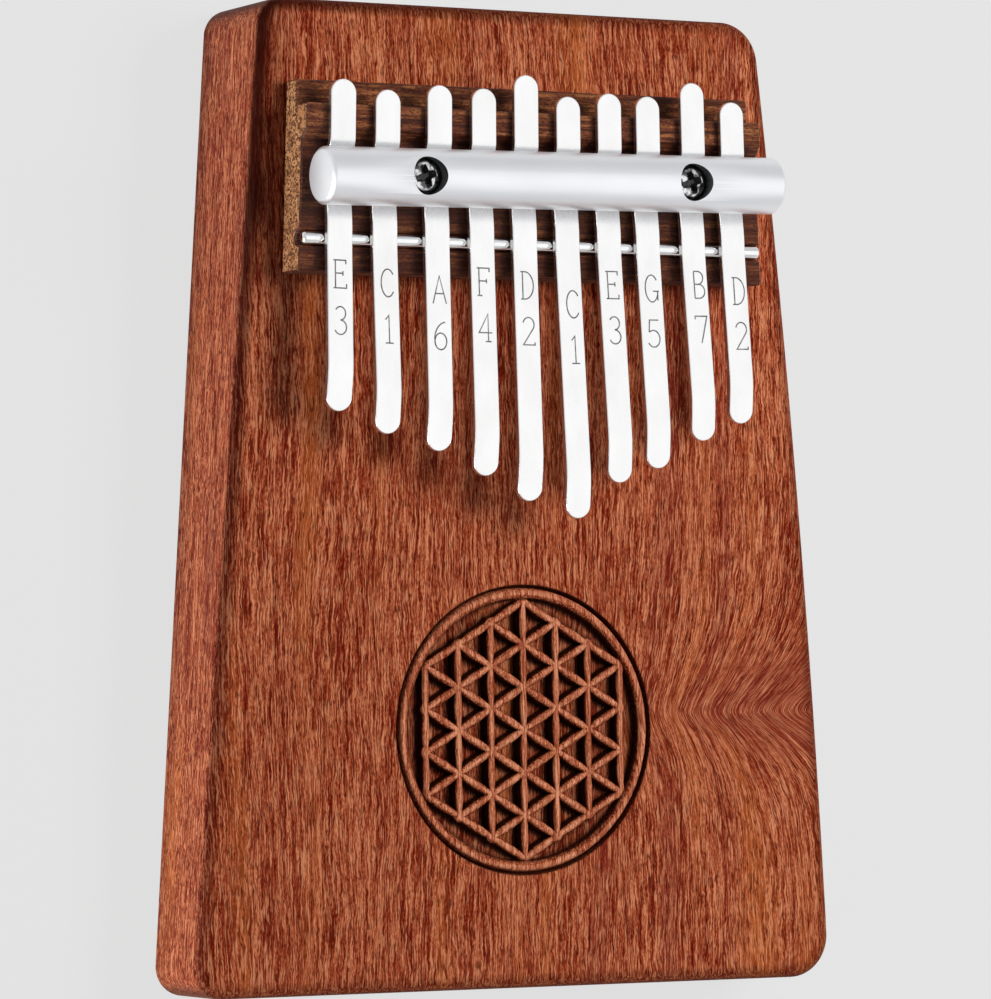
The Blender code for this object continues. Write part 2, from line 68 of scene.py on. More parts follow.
FACE_EDGE_SHADES = (0.75, 0.9, 1.0, 1.0, 1.0, 0.8, 0.35, 0.1)  # from the face round to the side
BACK_EDGE_SHADE = 0.6
FIRST_SIDE_STEP = 4  # the steps of a rounded edge from here on count as the board's side
SIDE_SHADE_MARGIN = 0.0023  # from the face or the back to where a side's own colour begins
LEFT_SHADE_START = 0.003
LEFT_SHADE_FADE = 0.007
END_SHADE = 0.65
END_SHADE_START = 0.0030
END_SHADE_FADE = 0.0022
MERGE_DISTANCE = 0.000004

# Rosette
ROSETTE_CENTRE = (0.0007, 0.0452)
LATTICE_RADIUS = 0.0075
LATTICE_RINGS = 3
PETAL_HALF_WIDTH = 0.00078
PETAL_BULGE = 0.00036  # how much wider a petal is in its middle than at its ends, on each side
NODE_RADIUS = 0.00105  # solid wood where six petals meet
POCKET_DEPTH = 0.0024
CRESCENT_DEPTH = 0.0020
PETAL_DOME = 0.00050
RING_INNER = 3.07 * LATTICE_RADIUS
RING_CREST_INNER = 0.0237
RING_CREST_OUTER = 0.0241
RING_SLOPE_DEPTH = 0.0006
GROOVE_FOOT = 0.02500
GROOVE_WALL = 0.02512
GROOVE_OUTER = 0.0255
GROOVE_DEPTH = 0.0013
PETAL_STEPS = 12
PETAL_SUNK = 0.00004  # petals and the ring's outer slope start this far below the face
CREST_SUNK = 0.00003  # and the ring's inner slope and crest this far
LEAST_CRESCENT = 0.00006  # width left at a crescent's points

# Bridge
BLOCK_TOP_Y = 0.1574
LEDGE_DEPTH = 0.0044
RIDGE_HEIGHT = 0.0084
RIDGE_DEPTH = 0.0043
ROD_RADIUS = 0.0012
ROD_LENGTH = 0.0912
ROD_Y = 0.1299
ROD_END_RADIUS = 0.0007
BAR_RADIUS = 0.0050
BAR_LENGTH = 0.0900
BAR_CHAMFER = 0.0006
BAR_CENTRE = (-0.0003, 0.1406)
BAR_TILT = math.radians(0.8)
SCREW_OFFSET = 0.0264
COUNTERBORE_RADIUS = 0.0033
COUNTERBORE_DEPTH = 0.0042
SHANK_RADIUS = 0.0013
SHANK_HOLE_RADIUS = 0.0016
SCREW_DEPTH_IN_BOARD = 0.0090
SCREW_POINT = 0.0025
HEAD_RADIUS = 0.0027
HEAD_RIM = 0.0019
HEAD_HEIGHT = 0.0024
CROSS_LENGTH = 0.0042
CROSS_WIDTH = 0.0011
CROSS_DEPTH = 0.0014
CROSS_TURN = math.radians(17)
CROSS_FILLET = 1.25
CROSS_TAPER = 0.55  # size of the recess at its floor
CROSS_FLARE = 1.6  # and at the top of its cutter, above the head
SOFT_EDGE = 0.0001
BAR_SEGMENTS = 128
ROUND_SEGMENTS = 64
HOLE_SEGMENTS = 32

# Tines
TINE_WIDTH = 0.0048
TINE_THICKNESS = 0.0012
TINE_EDGE = 0.00018
TINE_EDGE_STEPS = 3
TINE_END_STEPS = 20
TINE_STEP = 0.0006  # between the strip's sections
TINE_TOP_AT_ROD = 0.00895
TINE_TOP_AT_BAR = 0.0083
TINE_SPLAY = 0.6
TUNING_TRAVEL = 0.0015
BAR_FLAT = 0.0020
TIP_BEND = math.radians(10)
TIP_BEND_START = 0.0090
TIP_BEND_LENGTH = 0.0040
RISE_SOFTENING = 0.0012  # length over which the strip eases from level to rising
# x at the rod, length of the tongue, length from the rod to the tail, upward slope in degrees,
# its two marks, and where they start below the rod and how far right of its middle they sit
TINES = (
    (-0.0394, 0.0298, 0.0272, 3.0, "E3", 0.0039, 0.0000),
    (-0.0307, 0.0336, 0.0257, 4.6, "C1", 0.0052, 0.0002),
    (-0.0205, 0.0364, 0.0269, 3.0, "A6", 0.0061, 0.0002),
    (-0.0117, 0.0406, 0.0267, 3.1, "F4", 0.0045, 0.0001),
    (-0.0032, 0.0449, 0.0294, 2.7, "D2", 0.0049, 0.0002),
    (0.0053, 0.0479, 0.0260, 4.5, "C1", 0.0080, 0.0004),
    (0.0137, 0.0416, 0.0269, 4.9, "E3", 0.0044, 0.0002),
    (0.0216, 0.0390, 0.0267, 4.6, "G5", 0.0048, 0.0001),
    (0.0309, 0.0340, 0.0295, 4.9, "B7", 0.0039, 0.0006),
    (0.0391, 0.0308, 0.0264, 3.9, "D2", 0.0048, 0.0006),
)
MARK_HEIGHT = 0.0048
MARK_WIDTH = 0.0048  # width of the unit square that the characters are drawn in
MARK_PITCH = 0.0080
MARK_STROKE = 0.00024
MARK_PROUD = 0.00002
CHARACTER_MIDDLE = 0.28  # of the unit square's width

CONTACT_GAP = 0.0002
ABOVE = 0.0020
BAR_Z = TINE_TOP_AT_BAR + CONTACT_GAP + BAR_RADIUS
ROD_Z = TINE_TOP_AT_ROD - TINE_THICKNESS - CONTACT_GAP - ROD_RADIUS
TINE_TOP_AT_RIDGE = RIDGE_HEIGHT + CONTACT_GAP + TINE_THICKNESS
FACE_SLOPE = math.atan2(BOARD_TOP_THICKNESS - BOARD_BOTTOM_THICKNESS, BOARD_LENGTH)

# Camera, in the rosette's frame on the face
CAMERA_TURN = math.radians(28.63)  # to the left of the face's own line of sight
CAMERA_PITCH = math.radians(-1.94)
CAMERA_ROLL = math.radians(0.56)
CAMERA_DISTANCE = 0.9652
CAMERA_ACROSS = -0.00517
CAMERA_UP = 0.04042
CAMERA_LENS = 198.2

FLOOR_SIZE = 12.0
FLOOR_GREY = 0.795
FLOOR_DROP = 0.0003  # below the board's back


# Mesh helpers


def link(obj):
    bpy.context.scene.collection.objects.link(obj)
    return obj


def smooth_step(value):
    share = min(max(value, 0.0), 1.0)
    return share * share * (3 - 2 * share)


def mix(first, last, share):
    return first + (last - first) * share


def arc(centre, radius, start, end, steps):
    points = []
    for i in range(steps + 1):
        angle = start + (end - start) * i / steps
        points.append((centre[0] + radius * math.cos(angle), centre[1] + radius * math.sin(angle)))
    return points


def mesh_object(name, bm, material, matrix, sharp=35):
    """An object in the row frame made from a bmesh drawn in another frame."""
    bmesh.ops.recalc_face_normals(bm, faces=bm.faces)
    bm.transform(matrix)
    mesh = bpy.data.meshes.new(name)
    bm.to_mesh(mesh)
    bm.free()
    mesh.shade_smooth()
    mesh.set_sharp_from_angle(angle=math.radians(sharp))
    obj = link(bpy.data.objects.new(name, mesh))
    if material:
        mesh.materials.append(material)
    return obj


def cutter(name, bm, matrix, material=None):
    obj = mesh_object(name, bm, material, matrix)
    obj.hide_render = True
    obj.hide_viewport = True
    return obj


def subtract(obj, tool):
    """Cuts the tool out of the object. Its walls take the tool's material if it has one."""
    modifier = obj.modifiers.new("cut_" + tool.name, "BOOLEAN")
    modifier.operation = "DIFFERENCE"
    modifier.object = tool
    modifier.material_mode = "TRANSFER" if tool.data.materials else "INDEX"


def even_normals(obj):
    """Keeps flats flat where a rounded edge meets them."""
    modifier = obj.modifiers.new("normals", "WEIGHTED_NORMAL")
    modifier.keep_sharp = True


def add_prism(bm, outline, low, high):
    floor = bm.faces.new([bm.verts.new((x, y, low)) for x, y in outline])
    lifted = bmesh.ops.extrude_face_region(bm, geom=[floor])["geom"]
    for element in lifted:
        if isinstance(element, bmesh.types.BMVert):
            element.co.z = high


def add_cylinder(bm, radius, low, high, segments, centre=(0, 0)):
    placed = Matrix.Translation((centre[0], centre[1], (low + high) / 2))
    bmesh.ops.create_cone(
        bm, cap_ends=True, segments=segments, radius1=radius, radius2=radius, depth=high - low, matrix=placed
    )


def bridge_loops(bm, loops):
    """Quads between closed loops of vertices that all have the same length."""
    for first, second in zip(loops, loops[1:]):
        for i in range(len(first)):
            j = (i + 1) % len(first)
            bm.faces.new((first[i], first[j], second[j], second[i]))


def turned(profile, segments):
    """A bmesh turned about Z from a profile of (radius, z) that starts and ends on the axis."""
    bm = bmesh.new()
    loops = []
    for radius, z in profile[1:-1]:
        loops.append([bm.verts.new((x, y, z)) for x, y in arc((0, 0), radius, 0, math.tau, segments)[:-1]])
    bridge_loops(bm, loops)
    for (_, z), loop in ((profile[0], loops[0]), (profile[-1], loops[-1])):
        pole = bm.verts.new((0, 0, z))
        for i in range(segments):
            bm.faces.new((pole, loop[i], loop[(i + 1) % segments]))
    return bm


def offset_loop(points, inset):
    """A closed anticlockwise outline moved inwards by the inset."""
    moved = []
    count = len(points)
    for i, point in enumerate(points):
        before = Vector(point) - Vector(points[i - 1])
        after = Vector(points[(i + 1) % count]) - Vector(point)
        normal = Vector((before.y, -before.x)).normalized() + Vector((after.y, -after.x)).normalized()
        normal.normalize()
        moved.append((point[0] - normal.x * inset, point[1] - normal.y * inset))
    return moved


# Board


def side_x(y, sign):
    share = y / BOARD_LENGTH
    half = mix(BOARD_BOTTOM_WIDTH, BOARD_TOP_WIDTH, share) / 2
    bow = RIGHT_SIDE_BOW * 4 * share * (1 - share) if sign > 0 else 0.0
    return sign * (half + bow)


def rounded_corner(corner, before, after, radius):
    corner, before, after = Vector(corner), Vector(before), Vector(after)
    towards_before = (before - corner).normalized()
    towards_after = (after - corner).normalized()
    half_angle = towards_before.angle(towards_after) / 2
    centre = corner + (towards_before + towards_after).normalized() * radius / math.sin(half_angle)
    tangent = radius / math.tan(half_angle)
    first = corner + towards_before * tangent - centre
    last = corner + towards_after * tangent - centre
    start = math.atan2(first.y, first.x)
    turn = (math.atan2(last.y, last.x) - start + math.pi) % math.tau - math.pi
    return arc(centre, radius, start, start + turn, CORNER_STEPS)


def side_points(sign, heights):
    """Points on one side between its two rounded corners."""
    margin = RIGHT_CORNER_RADIUS * 1.2
    return [(side_x(y, sign), y) for y in heights if margin < y < BOARD_LENGTH - margin]


def board_outline():
    """The board seen from above, anticlockwise from its bottom right corner."""
    near = BOARD_LENGTH / 8
    high = BOARD_LENGTH
    bottom_right, bottom_left = (side_x(0, 1), 0), (side_x(0, -1), 0)
    top_right, top_left = (side_x(high, 1), high), (side_x(high, -1), high)
    heights = [high * i / SIDE_STEPS for i in range(1, SIDE_STEPS)]
    points = rounded_corner(bottom_right, bottom_left, (side_x(near, 1), near), RIGHT_CORNER_RADIUS)
    points += side_points(1, heights)
    points += rounded_corner(top_right, (side_x(high - near, 1), high - near), top_left, RIGHT_CORNER_RADIUS)
    points += rounded_corner(top_left, top_right, bottom_left, LEFT_CORNER_RADIUS)
    points += side_points(-1, heights[::-1])
    points += rounded_corner(bottom_left, top_left, bottom_right, LEFT_CORNER_RADIUS)
    return points


def back_z(y):
    """Depth of the flat back below the face, in the face frame."""
    return -(mix(BOARD_BOTTOM_THICKNESS, BOARD_TOP_THICKNESS, y / BOARD_LENGTH)) * math.cos(FACE_SLOPE)


def set_value(values, vertex, amount):
    values[vertex] = max(values.get(vertex, -1.0), amount)


def edge_shade(x, y):
    """How dark a rounded edge is: most on the left, at the tuning end."""
    left = 1 - smooth_step((x - side_x(y, -1) - LEFT_SHADE_START) / LEFT_SHADE_FADE)
    return mix(0.5, mix(0.4, 1.0, y / BOARD_LENGTH), left)


def end_shade(y):
    """How much painted shade darkens the board near its two ends, over the end grain."""
    past = abs(y - BOARD_LENGTH / 2) - BOARD_LENGTH / 2 + END_SHADE_START
    return END_SHADE * smooth_step(past / END_SHADE_FADE)


def add_board_sides(bm, outline, shade):
    """The rounded rim from the face, down the sides and on to the back. It returns the face's loop."""
    loops = []

    def add_loop(inset, place, amount, on_side=True):
        loop = []
        for (x, y), (full_x, full_y) in zip(offset_loop(outline, inset), outline):
            vertex = bm.verts.new((x, y, place(y)))
            end = end_shade(full_y) if on_side else 0.0
            set_value(shade, vertex, max(amount * edge_shade(full_x, full_y), end))
            loop.append(vertex)
        loops.append(loop)

    add_loop(BOARD_EDGE_RADIUS + EDGE_SHADE_WIDTH, lambda y: 0.0, 0.0, on_side=False)
    for i in range(EDGE_STEPS + 1):
        angle = math.pi / 2 * i / EDGE_STEPS
        inset = BOARD_EDGE_RADIUS * (1 - math.sin(angle))
        drop = BOARD_EDGE_RADIUS * (1 - math.cos(angle))
        on_side = i >= FIRST_SIDE_STEP
        add_loop(inset, lambda y, drop=drop: -drop, FACE_EDGE_SHADES[i], on_side)
    upper = -SIDE_SHADE_MARGIN
    for share in (0.0, 0.25, 0.5, 0.75):
        add_loop(0.0, lambda y, share=share: mix(upper, back_z(y) - upper, share), 0.0)
    for i in range(EDGE_STEPS + 1):
        angle = math.pi / 2 * i / EDGE_STEPS
        inset = BOARD_EDGE_RADIUS * (1 - math.cos(angle))
        rise = BOARD_EDGE_RADIUS * (1 - math.sin(angle))
        on_side = i < FIRST_SIDE_STEP
        add_loop(inset, lambda y, rise=rise: back_z(y) + rise, BACK_EDGE_SHADE, on_side)
    bridge_loops(bm, loops)
    bm.faces.new(loops[-1])
    return loops[0]


def fill_face(bm, outer, hole):
    """The flat face between the rim and the rosette's circle."""
    flat = [vertex.co.to_3d() for vertex in outer]
    ring = [vertex.co.to_3d() for vertex in hole]
    vertices = outer + hole
    for triangle in tessellate_polygon([flat, ring]):
        bm.faces.new([vertices[i] for i in triangle])


# Rosette


def lattice_point(a, b):
    return Vector((LATTICE_RADIUS * math.sqrt(3) / 2 * a, LATTICE_RADIUS * (b + a / 2)))


def in_lattice(a, b):
    return max(abs(a), abs(b), abs(a + b)) <= LATTICE_RINGS


def petal_disc(start, end, inward):
    """The circle whose edge is the petal's side nearest the inward point: its centre and radius."""
    half = (end - start).length / 2
    radius = (half * half + PETAL_BULGE**2) / (2 * PETAL_BULGE)
    middle = (start + end) / 2
    chord = end - start
    towards = Vector((chord.y, -chord.x)).normalized()
    if towards.dot(inward - middle) < 0:
        towards.negate()
    return middle - towards * (radius - PETAL_HALF_WIDTH), radius


def clear_distance(point, discs):
    """Distance from the nearest petal or node, negative inside one."""
    return min((point - centre).length - radius for centre, radius in discs)


def rim_share(start, end, discs):
    """How far from start to end a straight line leaves the petals."""
    low, high = 0.0, 1.0
    for _ in range(24):
        middle = (low + high) / 2
        if clear_distance(start.lerp(end, middle), discs) > 0:
            high = middle
        else:
            low = middle
    return high


def petal_stations(start, end):
    """Places along a petal, closer together near its ends."""
    shares = [0.5 - 0.5 * math.cos(math.pi * i / PETAL_STEPS) for i in range(PETAL_STEPS)]
    return [start.lerp(end, share) for share in shares]


def dome(share):
    """Height of a petal from its middle line, 0, to its rim, 1."""
    return -PETAL_SUNK - PETAL_DOME * share**1.8


def add_ring_vertex(bm, burn, place, height, amount):
    vertex = bm.verts.new((place.x, place.y, height))
    set_value(burn, vertex, amount)
    return vertex


# (share of the way from a petal's middle line to its rim, char and painted light): positive for char and
# painted shade on the flanks, negative for a painted highlight on the crest
PETAL_RINGS = ((0.0, -0.9), (0.35, -0.7), (0.65, -0.1), (0.85, 0.4), (1.0, 0.95))
# (share of the way from the rim to the pocket's middle, share of its depth, char and painted shade)
POCKET_RINGS = ((0.05, 0.93, 1.0), (0.12, 1.0, 0.9), (0.35, 1.0, 0.35), (0.65, 1.0, 0.2))


def add_pocket(bm, burn, corners):
    """One lattice triangle: half of each petal on its sides, and the pocket between them."""
    centre = (corners[0] + corners[1] + corners[2]) / 3
    sides = [(corners[i], corners[(i + 1) % 3]) for i in range(3)]
    discs = [petal_disc(start, end, centre) for start, end in sides]
    discs += [(corner, NODE_RADIUS) for corner in corners]
    places = [place for start, end in sides for place in petal_stations(start, end)]
    rims = [rim_share(place, centre, discs) for place in places]
    loops = []
    for share, amount in PETAL_RINGS:
        row = [
            add_ring_vertex(bm, burn, place.lerp(centre, rim * share), dome(share), amount)
            for place, rim in zip(places, rims)
        ]
        loops.append(row)
    for share, depth, amount in POCKET_RINGS:
        height = -mix(PETAL_DOME, POCKET_DEPTH, depth)
        row = [
            add_ring_vertex(bm, burn, place.lerp(centre, mix(rim, 1.0, share)), height, amount)
            for place, rim in zip(places, rims)
        ]
        loops.append(row)
    bridge_loops(bm, loops)
    middle = add_ring_vertex(bm, burn, centre, -POCKET_DEPTH, 0.2)
    last = loops[-1]
    for i in range(len(last)):
        bm.faces.new((middle, last[i], last[(i + 1) % len(last)]))


def ring_profile(width):
    """The crescent's floor height, and (radius, height, char and painted light) from its outer wall to the
    flat face.
    """
    fade = smooth_step((width - 0.00005) / 0.0006)
    floor = -mix(RING_SLOPE_DEPTH, CRESCENT_DEPTH, fade)
    # Negative values paint a highlight on the crest and the outer slope; positive values paint char and shade
    # down the inner slope and into the groove.
    rows = [(RING_INNER, -RING_SLOPE_DEPTH, 0.8)]
    for share, amount in ((0.3, 0.45), (0.6, 0.15), (0.9, 0.0)):
        height = -RING_SLOPE_DEPTH * (1 - share) ** 1.3 - CREST_SUNK
        rows.append((mix(RING_INNER, RING_CREST_INNER, share), height, amount))
    rows += [(RING_CREST_INNER + 0.0001, -CREST_SUNK, -0.6), (RING_CREST_OUTER, -PETAL_SUNK, -0.7)]
    for share, amount in ((0.3, -0.5), (0.6, -0.3), (0.85, 0.1), (1.0, 1.0)):
        height = -GROOVE_DEPTH * share**3.5 - PETAL_SUNK
        rows.append((mix(RING_CREST_OUTER, GROOVE_FOOT, share), height, amount))
    rows += [
        (GROOVE_WALL, -GROOVE_DEPTH, 1.0),
        (mix(GROOVE_WALL, GROOVE_OUTER, 0.5), -GROOVE_DEPTH / 2, 0.95),
        (GROOVE_OUTER - 0.00003, -0.00012, 0.85),
        (GROOVE_OUTER + 0.00006, -0.00001, 0.3),
        (GROOVE_OUTER + 0.00030, 0.0, 0.0),
    ]
    return floor, rows


def hexagon_boundary():
    """The lattice's outer edges in order, each with its two ends, anticlockwise."""
    corners = [Matrix.Rotation(math.radians(60 * i), 2) @ lattice_point(0, LATTICE_RINGS) for i in range(6)]
    for i in range(6):
        first, last = corners[i], corners[(i + 1) % 6]
        for j in range(LATTICE_RINGS):
            yield first.lerp(last, j / LATTICE_RINGS), first.lerp(last, (j + 1) / LATTICE_RINGS)


def add_outer_ring(bm, burn):
    """The crescents, the ring and its groove, outwards from the hexagon. It returns the last loop."""
    places = []
    for start, end in hexagon_boundary():
        discs = [petal_disc(start, end, start + end), (start, NODE_RADIUS), (end, NODE_RADIUS)]
        places += [(place, discs) for place in petal_stations(start, end)]
    columns = []
    for place, discs in places:
        outwards = place.normalized()
        at_ring = outwards * RING_INNER
        petal_edge = place.length + rim_share(place, at_ring, discs) * (RING_INNER - place.length)
        rim = min(petal_edge, RING_INNER - LEAST_CRESCENT)
        width = RING_INNER - rim
        floor, profile = ring_profile(width)
        column = []
        for share, amount in PETAL_RINGS:
            column.append((mix(place.length, rim, share), dome(share), amount))
        near = min(0.00006, 0.15 * width)
        far = min(0.00020, 0.3 * width)
        # The crescent's walls and floor take char and painted shade.
        column += [(rim + near, floor * 0.95, 1.0), (rim + far, floor, 0.9), (rim + width * 0.5, floor, 0.35)]
        column += [(RING_INNER - far, floor, 0.9), (RING_INNER - near, floor * 0.95, 1.0)]
        column += profile
        columns.append([add_ring_vertex(bm, burn, outwards * r, z, amount) for r, z, amount in column])
    loops = [list(loop) for loop in zip(*columns)]
    bridge_loops(bm, loops)
    return loops[-1]


def rosette_triangles():
    rings = range(-LATTICE_RINGS, LATTICE_RINGS + 1)
    for a in rings:
        for b in rings:
            for steps in (((0, 0), (1, 0), (0, 1)), ((0, 0), (1, -1), (1, 0))):
                points = [(a + da, b + db) for da, db in steps]
                if all(in_lattice(*point) for point in points):
                    yield [lattice_point(*point) for point in points]


def store(mesh_layer, values):
    for vertex, amount in values.items():
        vertex[mesh_layer] = amount


def make_board(material, hole_cutter):
    """The board as one closed mesh, with its rounded rim and its carved rosette."""
    bm = bmesh.new()
    shade_layer = bm.verts.layers.float.new("edge_shade")
    char_and_painted_light_layer = bm.verts.layers.float.new("burn")
    shade, burn = {}, {}
    for corners in rosette_triangles():
        add_pocket(bm, burn, corners)
    circle = add_outer_ring(bm, burn)
    bmesh.ops.translate(bm, verts=bm.verts, vec=(*ROSETTE_CENTRE, 0))
    outer = add_board_sides(bm, board_outline(), shade)
    fill_face(bm, outer, circle)
    store(shade_layer, shade)
    store(char_and_painted_light_layer, burn)
    bmesh.ops.remove_doubles(bm, verts=bm.verts, dist=MERGE_DISTANCE)
    board = mesh_object("board", bm, material, FACE, sharp=50)
    subtract(board, hole_cutter)
    even_normals(board)
    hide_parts("body")
    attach(board, "root")


# Bridge


def along_x():
    return Matrix.Rotation(math.pi / 2, 4, "Y")


def make_rod(material):
    """The thin rod, with rounded ends."""
    half = ROD_LENGTH / 2
    shoulder = ROD_RADIUS - ROD_END_RADIUS
    top = arc((shoulder, half - ROD_END_RADIUS), ROD_END_RADIUS, math.pi / 2, 0, 8)
    profile = [(0, half)] + top + [(radius, -z) for radius, z in reversed(top)] + [(0, -half)]
    place = FACE @ Matrix.Translation((0, ROD_Y, ROD_Z)) @ along_x()
    rod = mesh_object("rod", turned(profile, ROUND_SEGMENTS), material, place)
    even_normals(rod)
    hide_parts("bridge_rod")
    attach(rod, "root")


def bar_profile():
    """The bar's half section: a flat end, a soft chamfer and the round side."""
    half = BAR_LENGTH / 2
    edge = [
        (BAR_RADIUS - BAR_CHAMFER - SOFT_EDGE, half),
        (BAR_RADIUS - BAR_CHAMFER + SOFT_EDGE / 2, half - SOFT_EDGE / 2),
        (BAR_RADIUS - SOFT_EDGE / 2, half - BAR_CHAMFER + SOFT_EDGE / 2),
        (BAR_RADIUS, half - BAR_CHAMFER - SOFT_EDGE),
    ]
    return [(0, half)] + edge + [(radius, -z) for radius, z in reversed(edge)] + [(0, -half)]


def make_bar(material, well_shade_material):
    """The clamping bar with its two counterbored holes."""
    round_bar = turned(bar_profile(), BAR_SEGMENTS)
    bar = mesh_object("clamping_bar", round_bar, material, BAR_FRAME @ along_x())
    floor = BAR_RADIUS - COUNTERBORE_DEPTH
    wells = bmesh.new()
    shanks = bmesh.new()
    for side in (-1, 1):
        centre = (side * SCREW_OFFSET, 0)
        add_cylinder(wells, COUNTERBORE_RADIUS, floor, BAR_RADIUS + ABOVE, ROUND_SEGMENTS, centre)
        add_cylinder(shanks, SHANK_HOLE_RADIUS, -BAR_RADIUS - ABOVE, BAR_RADIUS, HOLE_SEGMENTS, centre)
    # The counterbores' walls take the near-black painted shade.
    subtract(bar, cutter("counterbore_cutter", wells, BAR_FRAME, well_shade_material))
    subtract(bar, cutter("clearance_cutter", shanks, BAR_FRAME))
    even_normals(bar)
    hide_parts("pressure_bar")
    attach(bar, "root")


def screw_profile():
    """Half of a pan-head wood screw from the top of its head to its point, its seat at Z 0."""
    length = BAR_Z + BAR_RADIUS - COUNTERBORE_DEPTH + SCREW_DEPTH_IN_BOARD
    crown_steps = 10
    profile = [(0, HEAD_HEIGHT)]
    for i in range(1, crown_steps + 1):
        angle = math.pi / 2 * (1 - i / crown_steps)
        height = HEAD_RIM + (HEAD_HEIGHT - HEAD_RIM) * math.sin(angle)
        profile.append((HEAD_RADIUS * math.cos(angle), height))
    profile += [
        (HEAD_RADIUS, SOFT_EDGE),
        (HEAD_RADIUS - SOFT_EDGE, 0),
        (SHANK_RADIUS, 0),
        (SHANK_RADIUS, -length + SCREW_POINT),
        (0, -length),
    ]
    return profile


def cross_outline():
    half, blade = CROSS_LENGTH / 2, CROSS_WIDTH / 2
    quarter = [(half, -blade), (half, blade), (blade * CROSS_FILLET, blade * CROSS_FILLET)]
    outline = []
    for turn in range(4):
        for x, y in quarter:
            point = Matrix.Rotation(math.pi / 2 * turn, 2) @ Vector((x, y))
            outline.append(tuple(point))
    return outline


def make_screw(name, node, side, material, recess_shade_material):
    """A pan-head screw with a cross recess that narrows towards its floor."""
    floor = BAR_RADIUS - COUNTERBORE_DEPTH + CONTACT_GAP
    place = BAR_FRAME @ Matrix.Translation((side * SCREW_OFFSET, 0, floor))
    screw = mesh_object(name, turned(screw_profile(), ROUND_SEGMENTS), material, place)
    cross = bmesh.new()
    add_prism(cross, cross_outline(), HEAD_HEIGHT - CROSS_DEPTH, HEAD_HEIGHT + ABOVE)
    for vertex in cross.verts:
        if vertex.co.z < HEAD_HEIGHT:
            vertex.co.xy *= CROSS_TAPER
        else:
            vertex.co.xy *= CROSS_FLARE
    turned_place = place @ Matrix.Rotation(CROSS_TURN, 4, "Z")
    # The recess's walls take the near-black painted shade.
    subtract(screw, cutter(name + "_cross", cross, turned_place, recess_shade_material))
    even_normals(screw)
    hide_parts(node)
    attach(screw, "root")


def make_screw_holes():
    bm = bmesh.new()
    depth = BAR_Z + SCREW_DEPTH_IN_BOARD + CONTACT_GAP
    for side in (-1, 1):
        add_cylinder(bm, SHANK_HOLE_RADIUS, -depth, 0, HOLE_SEGMENTS, (side * SCREW_OFFSET, 0))
    return cutter("screw_hole_cutter", bm, BAR_FRAME)


# Tines


def clamped_top(back, bar_back):
    """Height of a tine's top face behind the rod, where the bar presses it down."""
    ridge_back = BLOCK_TOP_Y - LEDGE_DEPTH - RIDGE_DEPTH - ROD_Y
    if back < bar_back:
        share = smooth_step((back - TUNING_TRAVEL) / (bar_back - 2 * TUNING_TRAVEL))
        return mix(TINE_TOP_AT_ROD, TINE_TOP_AT_BAR, share)
    rise = ridge_back - TUNING_TRAVEL - bar_back - BAR_FLAT
    share = smooth_step((back - bar_back - BAR_FLAT) / rise)
    return mix(TINE_TOP_AT_BAR, TINE_TOP_AT_RIDGE, share)


def tongue_top(along, tongue_length, slope):
    """Height of a tongue's top face: it rises from the rod and bends down near its tip."""
    eased = along - RISE_SOFTENING * (1 - math.exp(-along / RISE_SOFTENING))
    height = TINE_TOP_AT_ROD + eased * math.tan(slope)
    past = along - (tongue_length - TIP_BEND_START)
    if past > 0:
        curved = min(past, TIP_BEND_LENGTH)
        straight = past - curved
        height -= math.tan(TIP_BEND) * (curved * curved / (2 * TIP_BEND_LENGTH) + straight)
    return height


def tine_stations(tail_length, tongue_length, radius):
    """Distances from the rod towards the tip, negative behind it, between the rounded ends."""
    first, last = -tail_length + radius, tongue_length - radius
    steps = int((last - first) / TINE_STEP)
    return [mix(first, last, i / steps) for i in range(steps + 1)]


def tine_outline(stations, radius):
    """The strip seen from above, anticlockwise, as (across, towards the tail)."""
    tip = arc((0, -stations[-1]), radius, -math.pi, 0, TINE_END_STEPS)
    tail = arc((0, -stations[0]), radius, 0, math.pi, TINE_END_STEPS)
    right = [(radius, -s) for s in reversed(stations[1:-1])]
    left = [(-radius, -s) for s in stations[1:-1]]
    return tip + right + tail + left


def fill_strip(bm, loop, stations):
    """Fills a flat side of the strip: a fan over each rounded end, and quads between the sides."""
    end = TINE_END_STEPS + 1
    count = len(stations) - 2
    tip = loop[:end]
    right = loop[end : end + count]
    tail = loop[end + count : 2 * end + count]
    left = loop[2 * end + count :]
    bm.faces.new(tip)
    bm.faces.new(tail)
    right_side = [tip[-1]] + right + [tail[0]]
    left_side = [tip[0]] + left[::-1] + [tail[-1]]
    for i in range(len(right_side) - 1):
        bm.faces.new((right_side[i], right_side[i + 1], left_side[i + 1], left_side[i]))


def tine_frame(x):
    return FACE @ Matrix.Translation((x, ROD_Y, 0)) @ Matrix.Rotation(math.atan(TINE_SPLAY * x), 4, "Z")


def bend_with_tongue(obj):
    """Bakes the piece's placement into its mesh."""
    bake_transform(obj)


